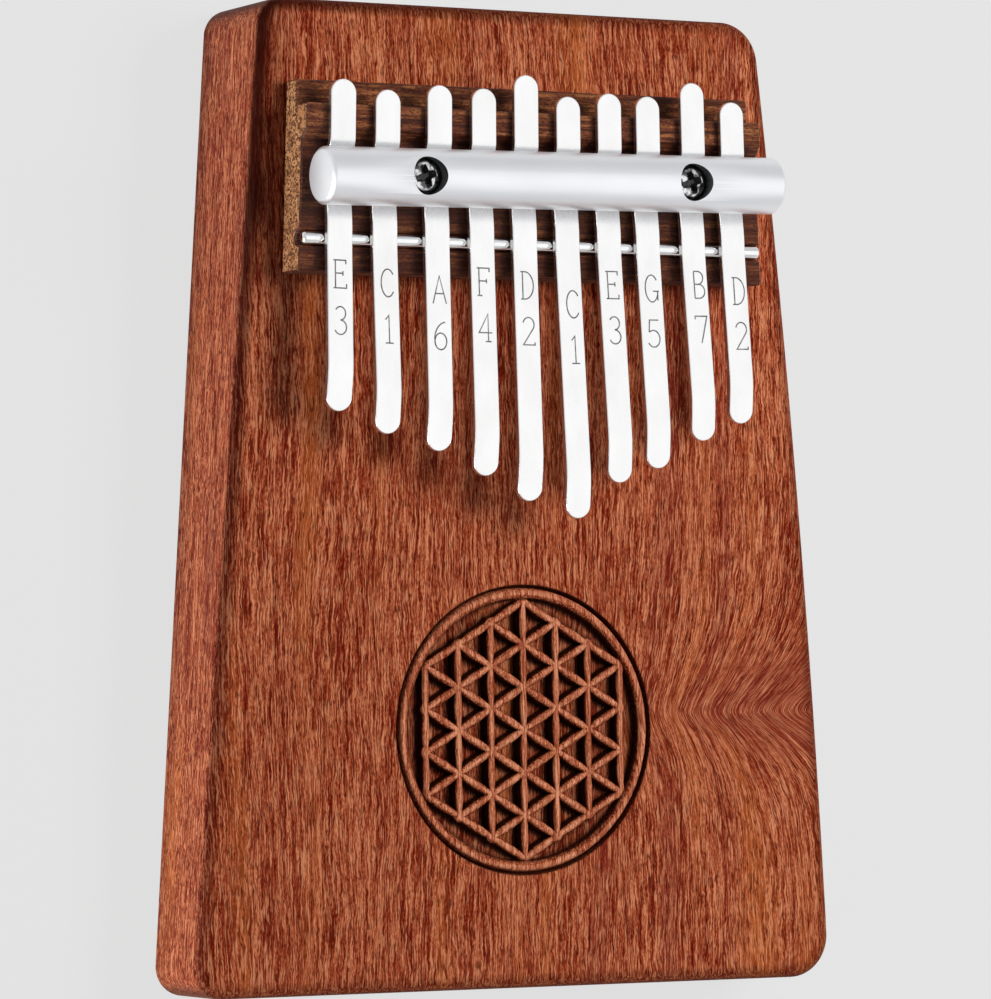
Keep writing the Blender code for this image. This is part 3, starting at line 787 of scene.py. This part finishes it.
def make_tine(number, x, tongue_length, tail_length, slope, material):
    """One steel strip with round ends and softened edges, from its tail to its tip."""
    bar_back = BAR_CENTRE[1] + (x - BAR_CENTRE[0]) * math.tan(BAR_TILT) - ROD_Y
    radius = TINE_WIDTH / 2
    stations = tine_stations(tail_length, tongue_length, radius)
    outline = tine_outline(stations, radius)

    def top_at(y):
        return clamped_top(y, bar_back) if y > 0 else tongue_top(-y, tongue_length, slope)

    bm = bmesh.new()
    loops = []
    upper = [(i, 1) for i in range(TINE_EDGE_STEPS + 1)]
    lower = [(TINE_EDGE_STEPS - i, -1) for i in range(TINE_EDGE_STEPS + 1)]
    for i, side in upper + lower:
        angle = math.pi / 2 * i / TINE_EDGE_STEPS
        inset = TINE_EDGE * (1 - math.sin(angle))
        drop = TINE_EDGE * (1 - math.cos(angle))
        if side < 0:
            drop = TINE_THICKNESS - drop
        loops.append([bm.verts.new((px, py, top_at(py) - drop)) for px, py in offset_loop(outline, inset)])
    bridge_loops(bm, loops)
    fill_strip(bm, loops[0], stations)
    fill_strip(bm, loops[-1], stations)
    name = f"tine_{number:02d}"
    tine = mesh_object(name + "_strip", bm, material, tine_frame(x))
    even_normals(tine)
    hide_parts(name + "_clamped_end", name + "_tongue")
    bend_with_tongue(tine)
    return top_at


# Note marks: plain letters and digits, each in strokes on a unit square.


def bowl(x, y, width, height, start, end, steps=14):
    """Part of an ellipse, its angles in degrees."""
    points = []
    for i in range(steps + 1):
        angle = math.radians(mix(start, end, i / steps))
        points.append((x + width * math.cos(angle), y + height * math.sin(angle)))
    return points


STEM = [(0.08, 0.0), (0.08, 1.0)]
TOP_ARM = [(0.0, 1.0), (0.50, 1.0), (0.50, 0.86)]
MIDDLE_ARM = [(0.08, 0.53), (0.38, 0.53)]
MIDDLE_SERIF = [(0.38, 0.61), (0.38, 0.45)]
CHARACTERS = {
    "A": ([(0.0, 0.0), (0.27, 1.0), (0.54, 0.0)], [(0.10, 0.36), (0.44, 0.36)]),
    "B": (
        STEM,
        [(0.08, 1.0)] + bowl(0.24, 0.76, 0.22, 0.24, 90, -90) + [(0.08, 0.52)],
        [(0.24, 0.52)] + bowl(0.26, 0.26, 0.25, 0.26, 90, -90) + [(0.08, 0.0)],
    ),
    "C": (bowl(0.30, 0.50, 0.27, 0.50, 38, 322, 24),),
    "D": (STEM, [(0.0, 1.0), (0.08, 1.0)] + bowl(0.16, 0.50, 0.36, 0.50, 90, -90, 20) + [(0.0, 0.0)]),
    "E": (STEM, TOP_ARM, MIDDLE_ARM, MIDDLE_SERIF, [(0.0, 0.0), (0.52, 0.0), (0.52, 0.15)]),
    "F": (STEM, TOP_ARM, MIDDLE_ARM, MIDDLE_SERIF, [(0.0, 0.0), (0.20, 0.0)]),
    "G": (
        bowl(0.30, 0.50, 0.27, 0.50, 38, 338, 24),
        [(0.34, 0.40), (0.60, 0.40)],
        [(0.54, 0.40), (0.54, 0.06)],
    ),
    "1": ([(0.16, 0.84), (0.30, 1.0), (0.30, 0.0)], [(0.14, 0.0), (0.46, 0.0)]),
    "2": (bowl(0.27, 0.74, 0.23, 0.26, 165, -30) + [(0.04, 0.0), (0.52, 0.0), (0.52, 0.10)],),
    "3": (
        bowl(0.26, 0.76, 0.21, 0.24, 150, -90),
        bowl(0.26, 0.26, 0.24, 0.26, 90, -155),
    ),
    "4": ([(0.40, 0.0), (0.40, 1.0), (0.02, 0.32), (0.56, 0.32)], [(0.28, 0.0), (0.52, 0.0)]),
    "5": (
        [(0.50, 1.0), (0.12, 1.0), (0.08, 0.56)],
        [(0.08, 0.56)] + bowl(0.26, 0.31, 0.26, 0.31, 118, -150, 18),
    ),
    "6": (bowl(0.28, 0.30, 0.24, 0.30, 0, 360, 24), bowl(0.52, 0.34, 0.49, 0.66, 176, 96)),
    "7": ([(0.02, 0.88), (0.02, 1.0), (0.52, 1.0), (0.24, 0.0)],),
}


def stroke_sides(points, half_width):
    """The two sides of a line of constant width."""
    lefts, rights = [], []
    for i, point in enumerate(points):
        before = (points[i] - points[i - 1]).normalized() if i else None
        after = (points[i + 1] - points[i]).normalized() if i + 1 < len(points) else None
        along = ((before or after) + (after or before)).normalized()
        widen = 1 / max(along.dot(before or after), 0.5)
        normal = Vector((-along.y, along.x)) * half_width * widen
        lefts.append(point + normal)
        rights.append(point - normal)
    return lefts, rights


def add_stroke(bm, points, top_at):
    """A thin closed ribbon just proud of the tine."""
    lefts, rights = stroke_sides(points, MARK_STROKE / 2)
    rows = []
    for left, right in zip(lefts, rights):
        row = []
        for place, side in ((left, 1), (right, 1), (right, -1), (left, -1)):
            row.append(bm.verts.new((place.x, place.y, top_at(place.y) + side * MARK_PROUD)))
        rows.append(row)
    bridge_loops(bm, rows)
    bm.faces.new(rows[0])
    bm.faces.new(rows[-1])


def make_marks(number, x, text, start, across, top_at, material):
    """A tine's note letter with its number under it."""
    bm = bmesh.new()
    for i, character in enumerate(text):
        top = -start - MARK_PITCH * i
        for stroke in CHARACTERS[character]:
            points = [
                Vector((across + (px - CHARACTER_MIDDLE) * MARK_WIDTH, top - (1 - py) * MARK_HEIGHT))
                for px, py in stroke
            ]
            add_stroke(bm, points, top_at)
    marks = mesh_object(f"tine_{number:02d}_marks", bm, material, tine_frame(x))
    bend_with_tongue(marks)


# Materials


class Graph:
    """A short way to write a material's nodes. Inputs are numbers, colours or other nodes' outputs."""

    def __init__(self, name):
        self.material = bpy.data.materials.new(name)
        self.material.use_nodes = True
        self.tree = self.material.node_tree
        self.shader = self.tree.nodes["Principled BSDF"]

    def put(self, socket, value):
        if isinstance(value, bpy.types.NodeSocket):
            self.tree.links.new(value, socket)
        elif isinstance(value, tuple) and len(value) == 3 and socket.type == "RGBA":
            socket.default_value = (*value, 1.0)
        else:
            socket.default_value = value

    def node(self, kind, inputs, output=0, **settings):
        node = self.tree.nodes.new("ShaderNode" + kind)
        for key, value in settings.items():
            setattr(node, key, value)
        for key, value in inputs.items():
            self.put(node.inputs[key], value)
        return node.outputs[output]

    def math(self, operation, first, second=0.0, third=0.0):
        return self.node("Math", {0: first, 1: second, 2: third}, operation=operation)

    def times(self, first, second):
        return self.math("MULTIPLY", first, second)

    def times_plus(self, first, second, third):
        return self.math("MULTIPLY_ADD", first, second, third)

    def place(self):
        """The point in the row frame, in millimetres."""
        position = self.node("TexCoord", {}, "Object")
        return self.node("VectorMath", {0: position, 1: (1000.0, 1000.0, 1000.0)}, operation="MULTIPLY")

    def noise(self, vector, scale, detail=2.0, roughness=0.5, distortion=0.0, offset=(0.0, 0.0, 0.0)):
        """Noise with as many waves in a millimetre along X, Y and Z as the scale says."""
        stretched = self.node("Mapping", {"Vector": vector, "Scale": scale, "Location": offset})
        inputs = {"Vector": stretched, "Scale": 1.0, "Detail": detail}
        inputs |= {"Roughness": roughness, "Distortion": distortion}
        return self.node("TexNoise", inputs, "Fac")

    def between(self, value, low, high):
        """0 below low, 1 above high, and smooth between."""
        inputs = {"Value": value, "From Min": low, "From Max": high}
        return self.node("MapRange", inputs, interpolation_type="SMOOTHSTEP")

    def blend(self, factor, first, second):
        inputs = {0: factor, 6: first, 7: second}
        return self.node("Mix", inputs, 2, data_type="RGBA", blend_type="MIX")

    def ramp(self, value, stops):
        node = self.tree.nodes.new("ShaderNodeValToRGB")
        self.put(node.inputs[0], value)
        elements = node.color_ramp.elements
        while len(elements) < len(stops):
            elements.new(0.5)
        for element, (place, colour) in zip(elements, stops):
            element.position = place
            element.color = (*colour, 1.0)
        return node.outputs[0]

    def parts(self, vector):
        """The vector's X, Y and Z."""
        split = self.tree.nodes.new("ShaderNodeSeparateXYZ")
        self.put(split.inputs[0], vector)
        return tuple(split.outputs)

    def attribute(self, name):
        return self.node("Attribute", {}, "Fac", attribute_name=name)

    def bump(self, height, strength, distance):
        inputs = {"Height": height, "Strength": strength, "Distance": distance}
        return self.node("Bump", inputs)

    def finish(self, **inputs):
        """Fills the surface's inputs, named with underscores for spaces, and gives the material."""
        for key, value in inputs.items():
            self.put(self.shader.inputs[key.replace("_", " ")], value)
        return self.material


def srgb(red, green, blue):
    """A colour as linear light, from 0 to 255 values."""
    linear = []
    for value in (red, green, blue):
        share = value / 255
        linear.append(share / 12.92 if share <= 0.04045 else ((share + 0.055) / 1.055) ** 2.4)
    return tuple(linear)


# The grain turns aside right of the rosette. Lengths are in millimetres in the row frame.
SWIRL_Y = -38.0
SWIRL_REACH_ABOVE = 8.5  # how fast it dies away up the board
SWIRL_REACH_BELOW = 6.5
SWIRL_START_X = 20.0
SWIRL_SLANT = 0.75  # push for each millimetre past the start
SWIRL_MOST = 30.0

# Painted shadow of the bridge block on the board left of it: from none to all of it, in the row frame
SHADOW_BESIDE_X = (-42.0, -50.0)
SHADOW_BESIDE_Y = (24.0, 50.0)
FACING_UP = (0.3, 0.8)  # height of the surface's normal

# Painted shade in the channel under the bar and the tines
CHANNEL_TOP_Y = 62.0  # the bridge block is darker from here down

FLOOR_MATTE_SHARE = 0.09
FLOOR_MATTE_REACH = (420.0, 180.0)  # distance from the board, from no shadow to the most


def board_grain(g):
    """The point in the board with the grain's waves straightened out, and the swirl's push."""
    place = g.place()
    x, y, z = g.parts(place)
    away = g.math("SUBTRACT", y, SWIRL_Y)
    above = g.math("DIVIDE", away, SWIRL_REACH_ABOVE)
    below = g.math("DIVIDE", away, -SWIRL_REACH_BELOW)
    share = g.math("MAXIMUM", above, below)
    rounded = g.math("SQRT", g.times_plus(share, share, 0.03))
    fall = g.math("EXPONENT", g.times(rounded, -1.0))
    past = g.times(g.math("SUBTRACT", x, SWIRL_START_X), SWIRL_SLANT)
    push = g.math("MINIMUM", g.math("MAXIMUM", past, 0.0), SWIRL_MOST)
    swirl = g.times(fall, push)
    wave = g.noise(place, (0.04, 0.012, 0.04))
    small = g.noise(place, (0.6, 0.30, 0.6), offset=(7.0, 3.0, 1.0))
    bend = g.times_plus(wave, 9.0, g.times(small, 0.9))
    across = g.math("ADD", g.math("ADD", x, swirl), bend)
    return g.node("CombineXYZ", {"X": across, "Y": y, "Z": z}), swirl


SAPELE_TONES = (
    (0.40, srgb(94, 18, 5)),
    (0.46, srgb(124, 42, 20)),
    (0.50, srgb(150, 66, 39)),
    (0.54, srgb(172, 89, 56)),
    (0.60, srgb(206, 128, 90)),
)


def sapele():
    """Oiled reddish-brown hardwood: fine interlocked grain with pale flecks and dark pores."""
    g = Graph("board_sapele")
    grain, swirl = board_grain(g)
    bands = g.noise(grain, (0.10, 0.004, 0.10), 2.0, 0.6, offset=(3.0, 0.0, 0.0))
    lines = g.noise(grain, (1.1, 0.012, 1.1), 2.0, 0.7)
    fibre = g.noise(grain, (3.6, 0.06, 3.6), 1.0, 0.7)
    mottle = g.noise(grain, (4.6, 1.5, 4.6), 1.0, offset=(2.0, 2.0, 2.0))
    flecks = g.noise(grain, (4.2, 0.20, 4.2), 1.0, 0.6, offset=(5.0, 9.0, 2.0))
    pores = g.noise(grain, (4.4, 0.42, 4.4), 1.0, 0.6, offset=(1.0, 4.0, 6.0))

    tone = g.times_plus(lines, 0.34, g.times(fibre, 0.42))
    tone = g.times_plus(mottle, 0.24, tone)
    base = g.ramp(tone, SAPELE_TONES)
    orange = g.between(bands, 0.54, 0.70)
    purple = g.math("MAXIMUM", g.between(bands, 0.45, 0.32), g.between(swirl, 3.0, 12.0))
    base = g.blend(g.times(orange, 0.45), base, srgb(186, 100, 46))
    base = g.blend(g.times(purple, 0.45), base, srgb(116, 40, 32))
    base = g.blend(g.times(g.between(flecks, 0.55, 0.65), 0.70), base, srgb(216, 142, 102))
    base = g.blend(g.times(g.between(pores, 0.55, 0.66), 0.80), base, srgb(76, 12, 2))
    # Painted shadow: the bridge block's cast shadow, painted on the upward faces of the board left of the
    # block.
    across, along, _ = g.parts(g.place())
    painted_shadow = g.times(g.between(across, *SHADOW_BESIDE_X), g.between(along, *SHADOW_BESIDE_Y))
    upwards = g.parts(g.node("NewGeometry", {}, "Normal"))[2]
    painted_shadow = g.times(painted_shadow, g.between(upwards, *FACING_UP))
    base = g.blend(g.times(painted_shadow, 0.62), base, srgb(62, 8, 3))
    # Char and painted shade darken the carving's walls and floors; a painted highlight lightens the petals'
    # and the ring's crests.
    burn = g.attribute("burn")
    painted_highlight = g.ramp(tone, ((0.42, srgb(150, 70, 44)), (0.50, srgb(196, 120, 86)), (0.58, srgb(232, 162, 126))))
    base = g.blend(g.math("MAXIMUM", g.times(burn, -0.9), 0.0), base, painted_highlight)
    base = g.blend(g.math("MAXIMUM", burn, 0.0), base, g.blend(0.93, base, srgb(22, 2, 0)))
    base = g.blend(g.attribute("edge_shade"), base, g.blend(0.93, base, srgb(42, 3, 0)))

    height = g.math("ADD", fibre, g.times(g.between(pores, 0.58, 0.70), -0.8))
    return g.finish(
        Base_Color=base,
        Roughness=g.times_plus(flecks, -0.15, 0.66),
        Normal=g.bump(height, 0.35, 0.00010),
        Specular_IOR_Level=0.06,
    )


BRIDGE_TONES = (
    (0.38, srgb(44, 15, 7)),
    (0.46, srgb(78, 36, 20)),
    (0.53, srgb(110, 60, 36)),
    (0.61, srgb(156, 98, 60)),
)


def bridge_wood():
    """Dark hardwood whose grain runs across the board, with pale speckled end grain."""
    g = Graph("bridge_hardwood")
    place = g.place()
    streaks = g.noise(place, (0.03, 0.9, 0.9), 3.0, 0.6, 0.4)
    fibre = g.noise(place, (0.20, 2.2, 2.2), 3.0, 0.7, offset=(2.0, 0.0, 0.0))
    tone = g.times_plus(streaks, 0.45, g.times(fibre, 0.55))
    long_grain = g.ramp(tone, BRIDGE_TONES)
    dashes = g.noise(place, (1.5, 3.4, 3.4), 1.0, offset=(3.0, 1.0, 0.0))
    long_grain = g.blend(g.times(g.between(dashes, 0.52, 0.64), 0.7), long_grain, srgb(40, 12, 4))
    # Painted shade in the channel under the bar and the tines, below CHANNEL_TOP_Y.
    painted_channel_shade = g.between(g.parts(place)[1], CHANNEL_TOP_Y + 1.0, CHANNEL_TOP_Y - 2.0)
    long_grain = g.blend(g.times(painted_channel_shade, 0.5), long_grain, srgb(46, 12, 5))
    cells = g.noise(place, (1.2, 1.9, 1.9), 2.0, 0.8, offset=(4.0, 0.0, 0.0))
    end_tone = g.noise(place, (0.5, 0.5, 0.5))
    end_grain = g.blend(g.between(end_tone, 0.35, 0.65), srgb(180, 122, 78), srgb(214, 156, 108))
    end_grain = g.blend(g.times(g.between(cells, 0.46, 0.55), 0.92), end_grain, srgb(62, 22, 6))
    sideways = g.parts(g.node("NewGeometry", {}, "Normal"))[0]
    facing = g.between(g.math("ABSOLUTE", sideways), 0.80, 0.92)
    return g.finish(
        Base_Color=g.blend(facing, long_grain, end_grain),
        Roughness=g.times_plus(fibre, 0.2, 0.5),
        Normal=g.bump(g.blend(facing, fibre, cells), 0.4, 0.0001),
        Specular_IOR_Level=0.30,
    )


def anodised_aluminium():
    """Satin anodised aluminium with very fine turning marks. Its sawn ends are duller."""
    g = Graph("satin_aluminium")
    place = g.place()
    grit = g.noise(place, (14.0, 3.0, 3.0))
    cloud = g.noise(place, (0.06, 0.2, 0.2))
    sideways = g.parts(g.node("NewGeometry", {}, "Normal"))[0]
    faced = g.between(g.math("ABSOLUTE", sideways), 0.85, 0.97)
    return g.finish(
        Base_Color=g.ramp(cloud, ((0.3, (0.90, 0.91, 0.94)), (0.7, (0.95, 0.96, 0.985)))),
        Roughness=g.times_plus(grit, 0.10, 0.37),
        Normal=g.bump(grit, 0.10, 0.00002),
        Metallic=g.times_plus(faced, -0.35, 1.0),
    )


def tine_steel():
    """Bright spring steel, polished lengthwise."""
    g = Graph("spring_steel")
    place = g.place()
    lines = g.noise(place, (9.0, 0.15, 9.0))
    cloud = g.noise(place, (0.25, 0.12, 0.25))
    return g.finish(
        Base_Color=g.ramp(cloud, ((0.3, (0.89, 0.885, 0.88)), (0.7, (0.94, 0.94, 0.935)))),
        Roughness=g.times_plus(lines, 0.12, 0.20),
        Normal=g.bump(lines, 0.08, 0.00002),
        Metallic=1.0,
    )


def clouded(name, scale, stops, roughness, metallic=1.0, detail=2.0):
    """A material whose colour and roughness drift a little from place to place."""
    g = Graph(name)
    cloud = g.noise(g.place(), scale, detail)
    return g.finish(
        Base_Color=g.ramp(cloud, stops),
        Roughness=g.times_plus(cloud, *roughness),
        Metallic=metallic,
    )


def chrome():
    stops = ((0.3, (0.88, 0.88, 0.88)), (0.7, (0.94, 0.94, 0.94)))
    return clouded("rod_chrome", (0.4, 1.5, 1.5), stops, (0.08, 0.06))


def black_steel():
    """Polished black-nickelled steel, rubbed a little brighter in places."""
    stops = ((0.43, (0.10, 0.10, 0.105)), (0.60, (0.78, 0.78, 0.79)))
    return clouded("black_steel", (0.9, 0.9, 0.9), stops, (0.1, 0.08))


def shaded_well():
    """Painted shade: a near-black, slightly uneven material on the counterbores' walls and in the screws'
    recesses, where the shade is deep.
    """
    stops = ((0.4, (0.012, 0.012, 0.012)), (0.7, (0.05, 0.05, 0.05)))
    return clouded("counterbore_painted_shade", (2.0, 2.0, 2.0), stops, (0.2, 0.4), metallic=0.0, detail=3.0)


def mark_grey():
    """The dull floor of a stamped stroke."""
    stops = ((0.3, srgb(70, 70, 70)), (0.7, srgb(140, 140, 140)))
    return clouded("stamped_grey", (1.1, 1.1, 1.1), stops, (0.3, 0.5), metallic=0.0)


def floor_material():
    """A pale floor that glows a little, so that shadows on it stay faint."""
    g = Graph("pale_floor")
    glow = g.node("Emission", {"Color": (FLOOR_GREY,) * 3, "Strength": 1.0})
    matte = g.node("BsdfDiffuse", {"Color": (0.62, 0.62, 0.62)})
    distance = g.node("VectorMath", {0: g.place()}, "Value", operation="LENGTH")
    near = g.between(distance, *FLOOR_MATTE_REACH)
    share = g.times(near, FLOOR_MATTE_SHARE)
    both = g.node("MixShader", {"Fac": share, 1: glow, 2: matte})
    g.put(g.tree.nodes["Material Output"].inputs["Surface"], both)
    return g.material


# Studio


def make_floor():
    bm = bmesh.new()
    bmesh.ops.create_grid(bm, x_segments=1, y_segments=1, size=FLOOR_SIZE / 2)
    floor = mesh_object("floor", bm, floor_material(), Matrix.Translation((0, 0, -FLOOR_DROP)))


def make_world(ambient, reflected, seen):
    """An even pale surround: its strength as light, in reflections, and seen by the camera."""
    world = bpy.data.worlds.new("studio")
    bpy.context.scene.world = world
    world.use_nodes = True
    tree = world.node_tree
    background = tree.nodes["Background"]
    background.inputs["Color"].default_value = (0.99, 0.995, 1.0, 1.0)
    path = tree.nodes.new("ShaderNodeLightPath")
    strength = tree.nodes.new("ShaderNodeMapRange")
    strength.inputs["To Min"].default_value = ambient
    strength.inputs["To Max"].default_value = reflected
    tree.links.new(path.outputs["Is Glossy Ray"], strength.inputs["Value"])
    behind = tree.nodes.new("ShaderNodeMapRange")
    behind.inputs["To Max"].default_value = seen
    tree.links.new(path.outputs["Is Camera Ray"], behind.inputs["Value"])
    tree.links.new(strength.outputs["Result"], behind.inputs["To Min"])
    tree.links.new(behind.outputs["Result"], background.inputs["Strength"])


def softbox(name, towards, distance, size, radiance, glossy=True, diffuse=True):
    """An area light that looks at the middle of the face from a direction in the face frame."""
    data = bpy.data.lights.new(name, "AREA")
    data.shape = "RECTANGLE"
    data.size, data.size_y = size
    data.energy = radiance * math.pi * size[0] * size[1]
    lamp = link(bpy.data.objects.new(name, data))
    middle = FACE @ Vector((0, BOARD_LENGTH / 2, 0))
    direction = (FACE.to_3x3() @ Vector(towards)).normalized()
    lamp.location = middle + direction * distance
    lamp.rotation_euler = direction.to_track_quat("Z", "Y").to_euler()
    lamp.visible_camera = False
    lamp.visible_glossy = glossy
    lamp.visible_diffuse = diffuse


def make_camera():
    """The main view's camera, placed from the rosette on the face."""
    turn = Matrix.Rotation(CAMERA_TURN, 3, "Y")
    view = Matrix.Rotation(CAMERA_ROLL, 3, "Z") @ Matrix.Rotation(CAMERA_PITCH, 3, "X") @ turn
    axes = view.transposed()
    place = axes @ Vector((CAMERA_ACROSS, CAMERA_UP, CAMERA_DISTANCE))
    data = bpy.data.cameras.new("camera")
    data.sensor_width = 36
    data.lens = CAMERA_LENS
    data.clip_end = 50
    camera = link(bpy.data.objects.new("camera", data))
    rosette = FACE @ Matrix.Translation((*ROSETTE_CENTRE, 0))
    camera.matrix_world = rosette @ Matrix.Translation(place) @ axes.to_4x4()
    bpy.context.scene.camera = camera


# Assembly

outline_x = [x for x, _ in board_outline()]
SHIFT_X = -(min(outline_x) + max(outline_x)) / 2
FACE = Matrix.Translation((SHIFT_X, -BOARD_LENGTH / 2, BOARD_BOTTOM_THICKNESS))
FACE = FACE @ Matrix.Rotation(FACE_SLOPE, 4, "X")
BAR_FRAME = FACE @ Matrix.Translation((*BAR_CENTRE, BAR_Z)) @ Matrix.Rotation(BAR_TILT, 4, "Z")

make_board(sapele(), make_screw_holes())
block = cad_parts["bridge_block"]
block.data.materials.clear()
block.data.materials.append(bridge_wood())
make_rod(chrome())
# Near-black painted shade for the counterbores and the screws' recesses.
well_painted_shade = shaded_well()
make_bar(anodised_aluminium(), well_painted_shade)
screw_black = black_steel()
make_screw("left_screw", "screw_left", -1, screw_black, well_painted_shade)
make_screw("right_screw", "screw_right", 1, screw_black, well_painted_shade)
steel = tine_steel()
grey = mark_grey()
for index, (x, tongue, tail, slope, text, mark_start, mark_across) in enumerate(TINES):
    surface = make_tine(index + 1, x, tongue, tail, math.radians(slope), steel)
    make_marks(index + 1, x, text, mark_start, mark_across, surface, grey)

make_floor()
make_world(ambient=0.10, reflected=0.62, seen=0.77)
softbox("key_softbox", (0.62, 0.26, 1.0), 0.80, size=(0.38, 0.38), radiance=14.6, glossy=False)
softbox("reflector", (0.62, -0.05, 1.0), 0.80, size=(0.80, 1.80), radiance=0.44, diffuse=False)
softbox("side_fill", (-1.0, -0.45, 0.03), 0.70, size=(0.40, 0.15), radiance=27.0)
make_camera()
bpy.context.scene.view_settings.view_transform = "Standard"
